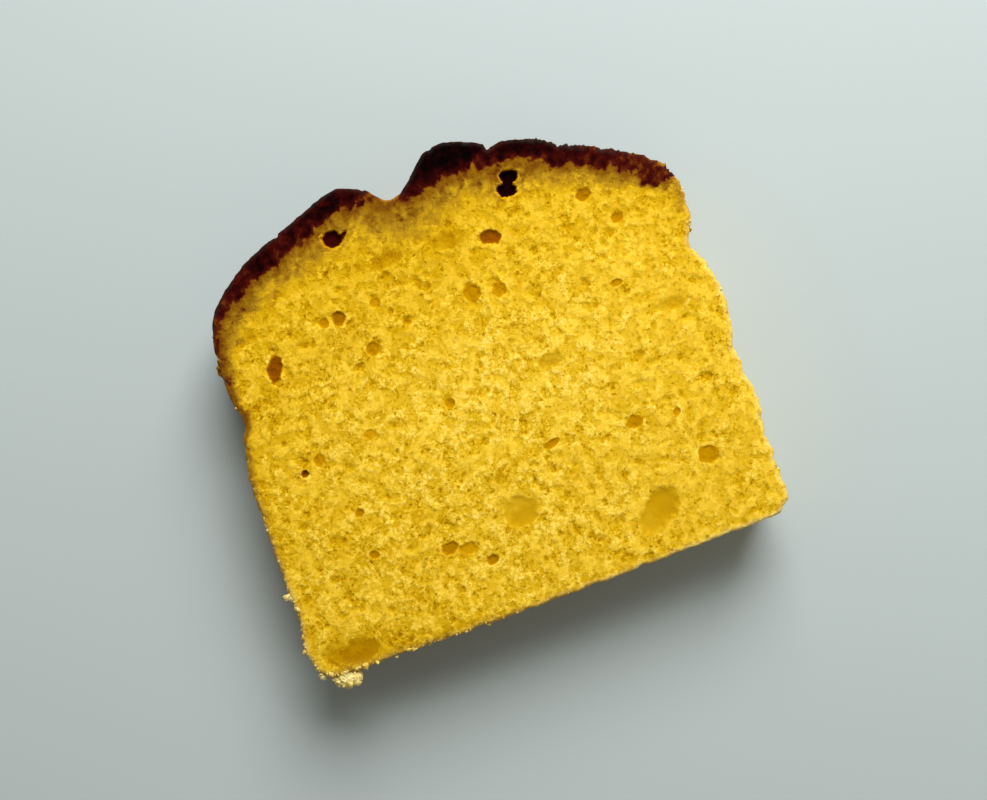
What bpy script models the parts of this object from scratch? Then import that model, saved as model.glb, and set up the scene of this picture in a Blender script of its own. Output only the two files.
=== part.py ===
"""A slice of lemon pound cake, lying on its lower cut face.

The loaf was baked in a straight tin, so the slice has a flat base and near-straight sides. Above
the tin's edge the crown rose free: it stands on a slight waist, and its crust tore open along the
middle into a trench with a raised lip. The slice is one solid. X runs across the loaf, Y from its
base to its crown and Z along the loaf, through the slice's thickness. Units are metres.
"""

import math
import random

import bmesh
import bpy
from mathutils import Vector, noise

# Driving sizes of the slice.
THICKNESS = 0.0200
HALF_WIDTH = 0.0503  # from the loaf's middle to a side, below the crown
SHOULDER_HEIGHT = 0.0700  # from the base to where the crown curves in
CROWN_RISE = 0.0220  # from the shoulders to the crown's smooth top

# The crown's curve: a flattened ellipse, fuller on its left half than on its right.
LEFT_FULLNESS = 2.0
RIGHT_FULLNESS = 1.6
SHOULDER_SHARPNESS = 0.58

RIGHT_SETTLE = 0.0009  # how far the right half sank, from the first place to the second
RIGHT_SETTLE_RUN = (0.0285, 0.0325)

# The trench where the crust tore open, from its left edge to its right edge. The crust on its
# left sags a little before it ends.
SAG_START = -0.0135
SAG_SHARE = 0.26  # of the trench's depth
TRENCH_LEFT_EDGE = -0.0095
TRENCH_LEFT_FOOT = -0.0050
TRENCH_RIGHT_FOOT = -0.0036
TRENCH_RIGHT_EDGE = 0.0056
TRENCH_DEPTH = 0.0062
TRENCH_WANDER = 0.0030  # how far the trench strays sideways, from one cut face to the other

# Swellings of the crown's crust: where each is, how high and how far it reaches. The middle one
# is the raised lip.
CROWN_SWELLS = ((-0.0160, 0.0009, 0.0040), (0.0095, 0.0021, 0.0054), (0.0240, 0.0009, 0.0050))
LIP_END = 0.0172  # the lip's crust ends here in a small notch
NOTCH_DEPTH = 0.0013
NOTCH_RUN = (0.0010, 0.0030)  # how far the notch reaches to its left and to its right

# The sides: how far the crown stands in or out from the tin's side.
LEFT_SET_IN = 0.0021
LEFT_RISE_START = 0.0400  # the height where the left side starts to draw in
LEFT_RISE_END = 0.0530
RIGHT_SET_OUT = 0.0009
RIGHT_RISE_START = 0.0330
RIGHT_RISE_END = 0.0410

# Bulges of the sides, and below zero their waists: height over the base, how far out, and reach.
LEFT_BULGES = ((0.0068, 0.0011, 0.0026), (0.0548, -0.0013, 0.0030))
RIGHT_BULGES = ((0.0235, 0.0009, 0.0045), (0.0440, 0.0010, 0.0040), (0.0570, -0.0024, 0.0030))
BASE_BELLY = (-0.0080, 0.0007, 0.0320)
BELLY_FADE = 8  # how quickly the base's belly dies away upward
LEFT_BASE_CORNER = 0.0030  # the radius of each corner of the base
RIGHT_BASE_CORNER = 0.0036

# The origin: under the middle of the slice's box, on the surface that the slice lies on. All
# other places are measured from the loaf's middle and its base.
BOX_MIDDLE = Vector((-0.0003, 0.0449, 0.0))

# The knife leaned a little, so the lower cut face lies this far from under the upper one.
LEAN = Vector((-0.0012, -0.0006))

# Relief: height and spacing of the crust's crags, and of the uneven crumb on the cut face.
CRUST_CRAGS = ((0.00055, 0.0090), (0.00025, 0.0035))
CRUMB_RELIEF = ((0.00022, 0.0140), (0.00016, 0.0042))
CRAG_FADE = 10  # how quickly crags die away from the wall into the cut face

# Clumps of crumb and crust that the knife left hanging from the upper edge: from the loaf's
# middle, from the base, under the upper face, then half width, half height and half depth.
EDGE_CLUMPS = {
    "corner_chunk": (-0.0455, -0.0010, 0.0030, 0.0026, 0.0022, 0.0020),
    "corner_crumb": (-0.0484, 0.0016, 0.0026, 0.0017, 0.0015, 0.0018),
    "side_crumb": (-0.0503, 0.0178, 0.0022, 0.0014, 0.0011, 0.0014),
    "side_flake": (-0.0476, 0.0655, 0.0034, 0.0012, 0.0021, 0.0028),
}
CLUMP_SIDES = 2  # subdivisions of a clump's icosphere
CLUMP_ROUGHNESS = (0.35, 0.0016)  # share of its size by which a clump is uneven, and spacing

# How many quads run across the slice, up it, and through its thickness.
QUADS_ACROSS = 60
QUADS_UP = 38
QUADS_THROUGH = 6

# Open pores on the upper cut face: from the loaf's middle, from its base, half width, half height
# and depth. These are the large ones, which hold their places; small ones are scattered between.
LARGE_PORES = {
    "left_tunnel": (-0.0180, 0.0822, 0.0020, 0.0014, 0.0070),
    "crown_tunnel_top": (0.0194, 0.0826, 0.0020, 0.0017, 0.0090),
    "crown_tunnel_bottom": (0.0180, 0.0794, 0.0020, 0.0016, 0.0090),
    "crown_pocket": (0.0124, 0.0720, 0.0020, 0.0016, 0.0034),
    "right_pocket": (0.0324, 0.0734, 0.0015, 0.0012, 0.0020),
    "round_pore": (0.0050, 0.0626, 0.0018, 0.0016, 0.0018),
    "round_pore_twin": (0.0102, 0.0614, 0.0014, 0.0015, 0.0017),
    "left_pore": (-0.0220, 0.0672, 0.0015, 0.0014, 0.0020),
    "left_pore_twin": (-0.0254, 0.0673, 0.0011, 0.0012, 0.0013),
    "side_slot": (-0.0374, 0.0620, 0.0017, 0.0027, 0.0036),
    "left_dimple": (-0.0179, 0.0592, 0.0015, 0.0016, 0.0015),
    "middle_pore": (-0.0072, 0.0434, 0.0011, 0.0010, 0.0017),
    "side_pinhole": (-0.0392, 0.0399, 0.0009, 0.0008, 0.0024),
    "low_disc": (-0.0008, 0.0184, 0.0036, 0.0030, 0.0011),
    "low_bowl_left": (0.0232, 0.0078, 0.0030, 0.0026, 0.0013),
    "low_bowl_right": (0.0264, 0.0102, 0.0026, 0.0030, 0.0019),
    "right_hollow": (0.0380, 0.0162, 0.0026, 0.0019, 0.0020),
    "right_slot": (0.0262, 0.0275, 0.0019, 0.0012, 0.0018),
    "middle_slot": (0.0090, 0.0288, 0.0017, 0.0010, 0.0016),
    "left_hollow": (-0.0160, 0.0156, 0.0030, 0.0014, 0.0014),
    "low_pore": (-0.0098, 0.0110, 0.0012, 0.0009, 0.0015),
    "high_right_pore": (0.0370, 0.0668, 0.0013, 0.0010, 0.0015),
    "right_pore": (0.0324, 0.0547, 0.0013, 0.0010, 0.0014),
    "right_dent": (0.0412, 0.0470, 0.0030, 0.0016, 0.0010),
}
PORE_SINK = 0.25  # a pore's middle lies this share of its depth under the face
PORE_SIDES = 2  # subdivisions of a large pore's icosphere
SMALL_PORE_SIDES = 1

SMALL_PORE_COUNT = 34
SMALL_PORE_RADIUS = (0.0007, 0.0012)
SMALL_PORE_DEPTH = 1.1  # as a share of its radius
PORE_GAP = 0.0022  # least crumb left between two pores
WALL_CRUMB = 0.0040  # least crumb left between a small pore and the crust
SCATTER_SEED = 11

CRUMB_COLOUR = (0.90, 0.58, 0.07, 1.0)
CRUMB_ROUGHNESS = 0.85
CRUST_COLOUR = (0.075, 0.022, 0.010, 1.0)
CRUST_ROUGHNESS = 0.55
CRUST_SLOT = 1


def swell(place, at):
    """A smooth bump (middle, height, reach) at one place along a line."""
    middle, height, reach = at
    return height * math.exp(-(((place - middle) / reach) ** 2))


def swells(place, several):
    """The sum of several smooth bumps along one line."""
    return sum(swell(place, at) for at in several)


def ease(place, start, end):
    """Rises smoothly from 0 at start to 1 at end."""
    share = min(1.0, max(0.0, (place - start) / (end - start)))
    return share * share * (3.0 - 2.0 * share)


def corner_inset(y, radius):
    """How far a rounded base corner draws its side in, at height y."""
    if y >= radius:
        return 0.0
    return radius - math.sqrt(radius**2 - (radius - max(0.0, y)) ** 2)


def left_side(y):
    set_in = LEFT_SET_IN * ease(y, LEFT_RISE_START, LEFT_RISE_END) - swells(y, LEFT_BULGES)
    return -(HALF_WIDTH - set_in - corner_inset(y, LEFT_BASE_CORNER))


def right_side(y):
    set_out = RIGHT_SET_OUT * ease(y, RIGHT_RISE_START, RIGHT_RISE_END) + swells(y, RIGHT_BULGES)
    return HALF_WIDTH + set_out - corner_inset(y, RIGHT_BASE_CORNER)


def crown_height(x, stray):
    """Height of the crust line over the base, with the trench moved sideways by stray."""
    side = left_side(SHOULDER_HEIGHT) if x < 0.0 else right_side(SHOULDER_HEIGHT)
    fullness = LEFT_FULLNESS if x < 0.0 else RIGHT_FULLNESS
    share = min(1.0, x / side)
    height = SHOULDER_HEIGHT + CROWN_RISE * (1.0 - share**fullness) ** SHOULDER_SHARPNESS
    torn = x - stray
    trench = SAG_SHARE * ease(torn, SAG_START, TRENCH_LEFT_EDGE)
    trench += (1.0 - SAG_SHARE) * ease(torn, TRENCH_LEFT_EDGE, TRENCH_LEFT_FOOT)
    trench -= ease(torn, TRENCH_RIGHT_FOOT, TRENCH_RIGHT_EDGE)
    notch = ease(torn, LIP_END - NOTCH_RUN[0], LIP_END) - ease(torn, LIP_END, LIP_END + NOTCH_RUN[1])
    sunk = TRENCH_DEPTH * trench + NOTCH_DEPTH * notch + RIGHT_SETTLE * ease(x, *RIGHT_SETTLE_RUN)
    return height + swells(torn, CROWN_SWELLS) - sunk


def relief(point, layers):
    """Sum of noise layers, each a height and a spacing, at a point."""
    return sum(height * noise.noise(point / spacing) for height, spacing in layers)


def face_height(x, y):
    """Height of the upper cut face, which the crumb makes uneven."""
    return THICKNESS + relief(Vector((x, y, THICKNESS)), CRUMB_RELIEF)


def slice_point(across, up, through):
    """Where a point of the plain box goes. Each share runs from 0 to 1: left to right, base to
    crown, lower to upper cut face."""
    crown_left, crown_right = left_side(SHOULDER_HEIGHT), right_side(SHOULDER_HEIGHT)
    crown_x = crown_left + across * (crown_right - crown_left)
    y = up * crown_height(crown_x, TRENCH_WANDER * (1.0 - through))
    x = left_side(y) + across * (right_side(y) - left_side(y))
    y -= swell(x, BASE_BELLY) * (1.0 - up) ** BELLY_FADE
    z = through * face_height(x, y)

    middle = Vector((0.0, SHOULDER_HEIGHT / 2))
    outward = (Vector((x, y)) - middle).normalized()
    edge = max(abs(2.0 * across - 1.0), abs(2.0 * up - 1.0)) ** CRAG_FADE
    crag = edge * up * relief(Vector((x, y, z)), CRUST_CRAGS)
    leaned = LEAN * (1.0 - through)
    return Vector((x + outward.x * crag + leaned.x, y + outward.y * crag + leaned.y, z))


def warped_box():
    """The slice before its pores: a box of quads whose points are moved to the slice's shape."""
    bm = bmesh.new()
    bmesh.ops.create_cube(bm, size=1.0)
    for axis, quads in enumerate((QUADS_ACROSS, QUADS_UP, QUADS_THROUGH)):
        along = [e for e in bm.edges if abs((e.verts[1].co - e.verts[0].co)[axis]) > 0.5]
        bmesh.ops.subdivide_edges(bm, edges=along, cuts=quads - 1, use_grid_fill=True)
    for vert in bm.verts:
        vert.co = slice_point(*(vert.co + Vector((0.5, 0.5, 0.5))))
    return bm


def simplify_underside(bm):
    """The lower cut face rests flat, so it needs only its outline."""
    flat = [face for face in bm.faces if all(abs(vert.co.z) < 1e-7 for vert in face.verts)]
    edges = {edge for face in flat for edge in face.edges}
    verts = {vert for face in flat for vert in face.verts}
    bmesh.ops.dissolve_limit(bm, angle_limit=0.001, verts=list(verts), edges=list(edges))


def paint_crust(bm):
    """The baked outside is crust, and the two cut faces are crumb."""
    for face in bm.faces:
        if abs(face.normal.z) < 0.7:
            face.material_index = CRUST_SLOT


def plain_material(name, colour, roughness):
    material = bpy.data.materials.new(name)
    material.use_nodes = True
    shader = material.node_tree.nodes["Principled BSDF"]
    shader.inputs["Base Color"].default_value = colour
    shader.inputs["Roughness"].default_value = roughness
    shader.inputs["Metallic"].default_value = 0.0
    material.diffuse_color = colour
    return material


def is_clear(x, y, radius, pores):
    """Whether a small pore here leaves crumb round itself and under the crust."""
    margin = WALL_CRUMB + radius
    in_sides = left_side(y) + margin < x < right_side(y) - margin
    in_height = margin < y < crown_height(x, 0.0) - margin
    apart = all(
        math.hypot(x - other_x, y - other_y) > radius + max(wide, high) + PORE_GAP
        for other_x, other_y, wide, high, _ in pores
    )
    return in_sides and in_height and apart


def scattered_pores():
    """Small pores placed at random wherever they fit between the large ones."""
    rng = random.Random(SCATTER_SEED)
    placed = list(LARGE_PORES.values())
    small = []
    while len(small) < SMALL_PORE_COUNT:
        radius = rng.uniform(*SMALL_PORE_RADIUS)
        x = rng.uniform(-HALF_WIDTH, HALF_WIDTH)
        y = rng.uniform(0.0, SHOULDER_HEIGHT + CROWN_RISE)
        if is_clear(x, y, radius, placed):
            pore = (x, y, radius, radius, radius * SMALL_PORE_DEPTH)
            placed.append(pore)
            small.append(pore)
    return small


def add_guide(name, mesh, middle, collection, frame):
    """A solid that the slice is cut or joined by, and that isn't part of it by itself."""
    guide = bpy.data.objects.new(name, mesh)
    guide.parent = frame
    guide.location = middle
    guide.hide_render = True
    guide.display_type = "WIRE"
    collection.objects.link(guide)
    return guide


def pore_cutter(name, pore, sides, collection, frame):
    """An ellipsoid that hollows one pore out of the upper cut face."""
    x, y, half_width, half_height, depth = pore
    bm = bmesh.new()
    bmesh.ops.create_icosphere(bm, subdivisions=sides, radius=1.0)
    bmesh.ops.scale(bm, vec=(half_width, half_height, depth), verts=bm.verts)
    mesh = bpy.data.meshes.new(name)
    bm.to_mesh(mesh)
    bm.free()
    middle = Vector((x, y, face_height(x, y) - PORE_SINK * depth))
    cutter = add_guide(name, mesh, middle, collection, frame)
    cutter.rotation_euler.z = noise.noise(Vector((x, y, 0.0)) / PORE_GAP)


def edge_clump(name, clump, collection, frame):
    """A ragged lump of crumb that hangs on to the slice's upper edge."""
    x, y, under, half_width, half_height, half_depth = clump
    unevenness, spacing = CLUMP_ROUGHNESS
    middle = Vector((x, y, THICKNESS - under))
    bm = bmesh.new()
    bmesh.ops.create_icosphere(bm, subdivisions=CLUMP_SIDES, radius=1.0)
    for vert in bm.verts:
        reach = Vector((vert.co.x * half_width, vert.co.y * half_height, vert.co.z * half_depth))
        vert.co = reach * (1.0 + unevenness * noise.noise((middle + reach) / spacing))
    mesh = bpy.data.meshes.new(name)
    bm.to_mesh(mesh)
    bm.free()
    add_guide(name, mesh, middle, collection, frame)


def new_collection(name):
    collection = bpy.data.collections.new(name)
    bpy.context.scene.collection.children.link(collection)
    return collection


def add_boolean(piece, name, operation, collection):
    boolean = piece.modifiers.new(name, "BOOLEAN")
    boolean.operation = operation
    boolean.operand_type = "COLLECTION"
    boolean.collection = collection
    boolean.solver = "EXACT"


def main():
    for obj in list(bpy.data.objects):
        bpy.data.objects.remove(obj)
    cake = new_collection("lemon_pound_cake")
    clumps = new_collection("edge_clumps")
    cutters = new_collection("pore_cutters")

    bm = warped_box()
    simplify_underside(bm)
    bm.normal_update()
    paint_crust(bm)
    mesh = bpy.data.meshes.new("cake_slice")
    bm.to_mesh(mesh)
    bm.free()
    mesh.materials.append(plain_material("crumb", CRUMB_COLOUR, CRUMB_ROUGHNESS))
    mesh.materials.append(plain_material("crust", CRUST_COLOUR, CRUST_ROUGHNESS))

    frame = bpy.data.objects.new("slice_frame", None)
    frame.location = -BOX_MIDDLE
    cake.objects.link(frame)

    cake_slice = bpy.data.objects.new("cake_slice", mesh)
    cake_slice.parent = frame
    cake.objects.link(cake_slice)

    for name, clump in EDGE_CLUMPS.items():
        edge_clump(name, clump, clumps, frame)
    for name, pore in LARGE_PORES.items():
        pore_cutter(name, pore, PORE_SIDES, cutters, frame)
    for number, pore in enumerate(scattered_pores()):
        pore_cutter(f"small_pore_{number:02d}", pore, SMALL_PORE_SIDES, cutters, frame)

    add_boolean(cake_slice, "hanging_clumps", "UNION", clumps)
    add_boolean(cake_slice, "open_pores", "DIFFERENCE", cutters)


main()
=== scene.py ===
# %% [markdown]
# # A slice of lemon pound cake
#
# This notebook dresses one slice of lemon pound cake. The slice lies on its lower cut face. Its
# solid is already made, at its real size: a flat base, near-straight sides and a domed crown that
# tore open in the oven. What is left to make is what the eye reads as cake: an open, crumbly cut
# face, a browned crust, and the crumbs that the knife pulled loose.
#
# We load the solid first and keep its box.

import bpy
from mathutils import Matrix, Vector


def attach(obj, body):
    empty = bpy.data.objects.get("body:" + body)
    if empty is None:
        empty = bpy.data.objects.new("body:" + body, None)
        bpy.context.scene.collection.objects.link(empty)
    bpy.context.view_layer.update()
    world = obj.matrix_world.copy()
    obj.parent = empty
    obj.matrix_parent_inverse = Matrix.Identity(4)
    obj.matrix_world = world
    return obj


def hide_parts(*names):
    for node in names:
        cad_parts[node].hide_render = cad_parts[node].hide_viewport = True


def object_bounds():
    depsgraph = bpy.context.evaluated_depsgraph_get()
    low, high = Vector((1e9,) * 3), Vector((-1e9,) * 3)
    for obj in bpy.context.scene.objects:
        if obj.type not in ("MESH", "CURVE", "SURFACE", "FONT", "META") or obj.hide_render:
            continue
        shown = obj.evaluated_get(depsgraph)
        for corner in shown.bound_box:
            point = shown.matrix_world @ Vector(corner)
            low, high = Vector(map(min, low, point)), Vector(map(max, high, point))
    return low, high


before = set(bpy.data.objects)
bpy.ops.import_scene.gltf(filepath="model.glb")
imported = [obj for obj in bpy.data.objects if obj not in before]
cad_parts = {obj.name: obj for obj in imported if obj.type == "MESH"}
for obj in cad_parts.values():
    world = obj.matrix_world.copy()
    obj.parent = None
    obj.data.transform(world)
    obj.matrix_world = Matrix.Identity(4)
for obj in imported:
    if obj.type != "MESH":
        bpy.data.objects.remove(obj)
CAD_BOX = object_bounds()
print("solid, mm:", [round(1000 * side, 1) for side in CAD_BOX[1] - CAD_BOX[0]])

# %% [markdown]
# ## One way to measure
#
# Cake is easiest to think of in millimetres, from the middle of the loaf and up from its base.
# The solid's own origin is in the middle of its box instead, so we note where the loaf's middle
# and base lie in it. Everything below is worked out in millimetres and turned into metres only
# when a mesh is made.

# %% Units and places
import math

import bmesh
import bpy
import numpy as np
from mathutils import Vector, noise
from mathutils.bvhtree import BVHTree
from mathutils.geometry import delaunay_2d_cdt
from mathutils.kdtree import KDTree

MM = 0.001  # metres
LOAF_ORIGIN = np.array((0.3, -44.9))  # the loaf's middle, at its base, in the solid's frame
THICKNESS = 20.0  # from the lower to the upper cut face
slice_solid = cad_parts["cake_slice"]
print("crown's height over the base, mm:", round(CAD_BOX[1].y / MM - LOAF_ORIGIN[1], 1))

# %% [markdown]
# ## The camera and the floor
#
# The slice was photographed from straight above, turned about a fifth of a right angle. A camera
# that looks straight down sees every pit in the crumb, so the picture depends on the cut face
# more than on anything else. We set the camera's height from the width of the view at the cut
# face, so that sizes in the picture can be read off in millimetres.

# %% Camera
VIEW_WIDTH = 197.4  # mm across the picture, at the upper cut face
VIEW_MIDDLE = (1.62, -3.84)  # the point of the slice under the lens
VIEW_TURN = -20.0  # degrees
LENS = 50.0
SENSOR = 36.0

camera_data = bpy.data.cameras.new("camera")
camera_data.lens = LENS
camera_data.sensor_width = SENSOR
camera = bpy.data.objects.new("camera", camera_data)
camera_height = THICKNESS + VIEW_WIDTH * LENS / SENSOR
camera.location = (VIEW_MIDDLE[0] * MM, VIEW_MIDDLE[1] * MM, camera_height * MM)
camera.rotation_euler = (0.0, 0.0, math.radians(VIEW_TURN))
bpy.context.collection.objects.link(camera)
bpy.context.scene.camera = camera
print("camera's height, mm:", round(camera_height))

# %% [markdown]
# ## Shader sums
#
# A material is a sum of small effects: a colour, a little less of it in the hollows, a little
# more where it is baked. Wiring that by hand hides the idea. The small class below wraps a
# socket, so that `1 - mask` or `grain * 0.3` adds the Math nodes by itself. Every other node is
# made by its one method, which takes the node's type, its settings and its sockets' values.

# %% A socket that can be used in sums
class Wire:
    """An output socket of a material's node tree."""

    def __init__(self, tree, socket=None):
        self.tree = tree
        self.socket = socket

    def node(self, kind, settings=None, sockets=None, output=0):
        """Adds a node: its settings first, then its sockets' values or links."""
        made = self.tree.nodes.new(kind)
        for name, setting in (settings or {}).items():
            if name == "stops":
                fill_ramp(made.color_ramp, setting)
            else:
                setattr(made, name, setting)
        for name, value in (sockets or {}).items():
            if isinstance(value, Wire):
                self.tree.links.new(value.socket, made.inputs[name])
            else:
                made.inputs[name].default_value = value
        return Wire(self.tree, made.outputs[output])

    def other(self, output):
        """Another output of the node that this wire comes from."""
        return Wire(self.tree, self.socket.node.outputs[output])

    def math(self, operation, first, second):
        return self.node("ShaderNodeMath", {"operation": operation}, {0: first, 1: second})

    def __add__(self, other):
        return self.math("ADD", self, other)

    def __sub__(self, other):
        return self.math("SUBTRACT", self, other)

    def __rsub__(self, other):
        return self.math("SUBTRACT", other, self)

    def __mul__(self, other):
        return self.math("MULTIPLY", self, other)

    def __pow__(self, other):
        return self.math("POWER", self, other)

    __radd__ = __add__
    __rmul__ = __mul__


def fill_ramp(ramp, stops):
    """Gives a colour ramp its stops: pairs of a place from 0 to 1 and a colour."""
    while len(ramp.elements) < len(stops):
        ramp.elements.new(1.0)
    for element, (place, colour) in zip(ramp.elements, stops):
        element.position = place
        element.color = colour


def paint(red, green, blue):
    """A colour as seen on a screen, 0 to 255, as the light values that Blender mixes."""
    shares = (value / 255 for value in (red, green, blue))
    return (*(s / 12.92 if s <= 0.04045 else ((s + 0.055) / 1.055) ** 2.4 for s in shares), 1.0)


def between(value, low, high, start=0.0, end=1.0):
    """Rises smoothly from start to end while a wire's value goes from low to high."""
    return value.node(
        "ShaderNodeMapRange",
        {"interpolation_type": "SMOOTHSTEP"},
        {"Value": value, "From Min": low, "From Max": high, "To Min": start, "To Max": end},
    )


def blend(mask, first, second):
    """Colour that goes from first to second as the mask goes from 0 to 1."""
    return mask.node("ShaderNodeMix", {"data_type": "RGBA"}, {0: mask, 6: first, 7: second}, output=2)


print("a mid yellow as light:", [round(value, 3) for value in paint(228, 181, 38)])

# %% [markdown]
# ## Floor and light
#
# The floor is plain and pale, a little cool, so that the yellow looks as warm as it is. The light
# is one large soft window to the far side, a little to the right. It stands halfway up: low
# enough for each pore to hold a shadow, and for the slice to throw one as wide as it is thick. A
# weak even fill comes from all round, and a low one from the near right keeps the base from
# sinking into its own shade.

# %% The floor
FLOOR_SIZE = 60.0  # wide enough to reach the horizon of a low view
FLOOR_COLOUR = paint(176, 186, 185)
FLOOR_ROUGHNESS = 0.85


def plain_floor():
    material = bpy.data.materials.new("matt_floor")
    material.use_nodes = True
    tree = material.node_tree
    shader = tree.nodes["Principled BSDF"]
    shader.inputs["Base Color"].default_value = FLOOR_COLOUR
    shader.inputs["Roughness"].default_value = FLOOR_ROUGHNESS
    bpy.ops.mesh.primitive_plane_add(size=FLOOR_SIZE, location=(0.0, 0.0, CAD_BOX[0].z))
    floor = bpy.context.object
    floor.name = "floor"
    floor.data.materials.append(material)
    return floor


floor = plain_floor()
print("floor lies at z =", round(floor.location.z, 5))

# %% The lights
# Direction round and up, in degrees, then distance and size in metres, and power in watts. The
# direction round is counted from the slice's right-hand side towards its crown.
LIGHTS = {
    "key_light": (61.0, 45.0, 0.62, 0.42, 6.1),
    "low_fill_light": (-38.0, 14.0, 0.45, 0.30, 0.30),
}
SKY_LIGHT = (1.0, 0.98, 0.88, 1.0)
SKY_STRENGTH = 0.20


def window(name, azimuth, elevation, distance, size, power):
    """A square soft light that looks at the slice from a direction given in degrees."""
    turned = math.radians(azimuth)
    raised = math.radians(elevation)
    flat = math.cos(raised)
    outward = Vector((flat * math.cos(turned), flat * math.sin(turned), math.sin(raised)))
    light = bpy.data.lights.new(name, "AREA")
    light.size = size
    light.energy = power
    lamp = bpy.data.objects.new(name, light)
    lamp.location = outward * distance
    lamp.rotation_euler = outward.to_track_quat("Z", "Y").to_euler()
    bpy.context.collection.objects.link(lamp)


for light_name, measures in LIGHTS.items():
    window(light_name, *measures)
world = bpy.data.worlds.new("even_fill")
world.use_nodes = True
background = world.node_tree.nodes["Background"]
background.inputs["Color"].default_value = SKY_LIGHT
background.inputs["Strength"].default_value = SKY_STRENGTH
bpy.context.scene.world = world
bpy.context.scene.view_settings.view_transform = "Standard"

# %% [markdown]
# ## The outline
#
# The dressed slice has to keep the form of the solid, so we read the outline from it. One could
# copy the solid's mesh and subdivide it, but its facets would then show through as flat spots.
# Instead we shoot rays at it from all round, at several heights, note how far out each one stops,
# and smooth the result a little. What comes out is a table of radii that any finer mesh can use.

# %% Read the outline at several heights
ANGLE_COUNT = 2400
HEIGHTS = np.linspace(0.4, 19.4, 14)  # where the outline is read
FAR = 90.0  # well outside the slice
FACET_SMOOTHING = 3.2  # in steps of the angle: enough to lose the solid's facets

angles = np.linspace(-math.pi, math.pi, ANGLE_COUNT, endpoint=False)
solid_tree = BVHTree.FromObject(slice_solid, bpy.context.evaluated_depsgraph_get())


def reach_at(height):
    """How far the solid reaches from its middle, in each direction, at one height."""
    reach = np.empty(ANGLE_COUNT)
    for step, angle in enumerate(angles):
        outward = Vector((math.cos(angle), math.sin(angle), 0.0))
        start = (outward * FAR + Vector((0.0, 0.0, height))) * MM
        distance = solid_tree.ray_cast(start, -outward)[3]
        reach[step] = FAR - distance / MM
    return reach


def smooth_round(values, reach):
    """Values in a ring, each averaged with its neighbours under a bell curve."""
    steps = np.arange(-int(3 * reach), int(3 * reach) + 1)
    weights = np.exp(-0.5 * (steps / reach) ** 2)
    weights /= weights.sum()
    return sum(weight * np.roll(values, step) for step, weight in zip(steps, weights))


outline_table = np.array([smooth_round(reach_at(height), FACET_SMOOTHING) for height in HEIGHTS])
print("outline reaches from", outline_table.min().round(1), "to", outline_table.max().round(1))

# %% [markdown]
# The table is looked up by angle and by height. Between its rows we mix the two nearest ones,
# and above or below its ends the last row is kept. Then we walk round the edge of the cut face
# in even steps: each step becomes one column of points down the side.

# %% Look the outline up, and walk round it
EDGE_STEP = 0.42  # between two points round the edge of the cut face


def outline_reach(at_angles, at_height):
    """The smoothed outline's reach at any angles, at one height."""
    up = np.interp(at_height, HEIGHTS, np.arange(len(HEIGHTS)))
    row = min(int(up), len(HEIGHTS) - 2)
    ring = outline_table[row] * (row + 1 - up) + outline_table[row + 1] * (up - row)
    return np.interp(at_angles, angles, ring, period=2 * math.pi)


def spokes(at_angles):
    """Unit directions in the plane of the cut face."""
    return np.stack((np.cos(at_angles), np.sin(at_angles)), axis=-1)


fine_edge = outline_reach(angles, THICKNESS)[:, None] * spokes(angles)
walked = np.cumsum(np.linalg.norm(np.diff(fine_edge, axis=0, append=fine_edge[:1]), axis=1))
walked = np.concatenate(([0.0], walked))
COLUMNS = int(walked[-1] / EDGE_STEP)
even_steps = np.arange(COLUMNS) * walked[-1] / COLUMNS
column_angles = np.interp(even_steps, walked, np.append(angles, math.pi))
column_spokes = spokes(column_angles)
print("the edge is", walked[-1].round(), "mm long, in", COLUMNS, "steps")

# %% [markdown]
# ## Two measures that everything shares
#
# Cake has no straight lines, so nearly every value below wanders with some noise. A whole field
# of it is worked out at once for a list of places, at a scale given in millimetres. The second
# helper reads a short table of places and values, such as a thickness along the crown.

# %% Noise and tables
NOISE_GAIN = 1.6  # brings the noise nearer to filling its range
SEED_STEP = (17.13, -9.71, 5.37)  # how far apart two seeds lie in the noise


def wander(places, scale, seed=0.0):
    """Noise between about -1 and 1 that changes over a distance of scale, in mm."""
    flat = np.asarray(places, dtype=float) / scale
    if flat.shape[1] == 2:
        flat = np.column_stack((flat, np.zeros(len(flat))))
    flat = flat + tuple(seed * step for step in SEED_STEP)
    return np.fromiter(map(noise.noise, flat.tolist()), float, len(flat)) * NOISE_GAIN


def ease(values, start, end):
    """Rises smoothly from 0 at start to 1 at end."""
    share = np.clip((values - start) / (end - start), 0.0, 1.0)
    return share * share * (3.0 - 2.0 * share)


def along(table, x):
    """Reads each column of a table at x, with straight lines between its rows."""
    places, *columns = np.array(table).T
    return [np.interp(x, places, column) for column in columns]


test_field = wander(np.random.default_rng(1).uniform(-40, 40, (2000, 2)), 3.0)
print("noise has a spread of", test_field.std().round(2))

# %% [markdown]
# ## Where the oven browned it
#
# The crust is not a separate skin. It is the same batter, browned more and more towards the
# outside, so one number says it all: how much a point is baked, from 0 for yellow crumb to 1 for
# almost black. We give it to each point of the mesh, and the material turns it into a colour.
#
# Each table below follows the edge of the cut face. Its columns say how dark the very edge is, how
# deep the crust reaches, and over what distance the toasted crumb behind it fades. The crust itself
# ends in a crisp line: it turns from almost black to wine red and stops, and only then comes the
# soft golden brown. In the tear in the crown fresh batter came up late, so it is only golden, and
# the right side, torn from its tin, is not browned at all.

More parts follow.
